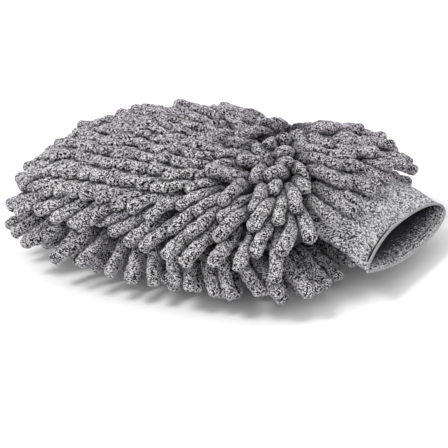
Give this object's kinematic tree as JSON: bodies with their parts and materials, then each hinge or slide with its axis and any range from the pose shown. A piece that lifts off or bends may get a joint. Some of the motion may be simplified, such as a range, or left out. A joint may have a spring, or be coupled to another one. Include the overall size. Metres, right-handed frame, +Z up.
{
  "type": "wash mitt",
  "caption": "Two-sided chenille wash mitt: a sewn pocket covered in fat noodles, with a doubled rib-knit elastic cuff at the hand opening.",
  "frame": {"origin": "centre of the bounding box in plan, at the surface the mitt lies on", "axes": "+X from the fingertips to the cuff mouth, +Y across the mitt, +Z up"},
  "size_m": [0.2495, 0.196, 0.0821],
  "materials": {
    "chenille": "matte",
    "backing": "matte",
    "lining": "matte",
    "rib_knit": "matte",
    "cuff_lining": "matte",
    "welt": "matte",
    "thread": "matte",
    "elastic": "matte"
  },
  "bodies": {
    "root": {"upper_backing": "backing", "lower_backing": "backing", "upper_lining": "lining", "lower_lining": "lining", "edge_seam": "thread", "wrist_seam": "thread", "cuff_outer_layer": "rib_knit", "cuff_inner_layer": "cuff_lining", "cuff_welt": "welt", "cuff_elastic": "elastic", "upper_noodles_01": "chenille", "upper_noodles_02": "chenille", "upper_noodles_03": "chenille", "upper_noodles_04": "chenille", "upper_noodles_05": "chenille", "upper_noodles_06": "chenille", "upper_noodles_07": "chenille", "upper_noodles_08": "chenille", "upper_noodles_09": "chenille", "upper_noodles_10": "chenille", "upper_noodles_11": "chenille", "upper_noodles_12": "chenille", "upper_noodles_13": "chenille", "upper_noodles_14": "chenille", "upper_noodles_15": "chenille", "upper_noodles_16": "chenille", "upper_noodles_17": "chenille", "upper_noodles_18": "chenille", "lower_noodles_01": "chenille", "lower_noodles_02": "chenille", "lower_noodles_03": "chenille", "lower_noodles_04": "chenille", "lower_noodles_05": "chenille", "lower_noodles_06": "chenille", "lower_noodles_07": "chenille", "lower_noodles_08": "chenille", "lower_noodles_09": "chenille", "lower_noodles_10": "chenille", "lower_noodles_11": "chenille", "lower_noodles_12": "chenille", "lower_noodles_13": "chenille", "lower_noodles_14": "chenille", "lower_noodles_15": "chenille", "lower_noodles_16": "chenille", "lower_noodles_17": "chenille", "lower_noodles_18": "chenille"}
  },
  "joints": []
}
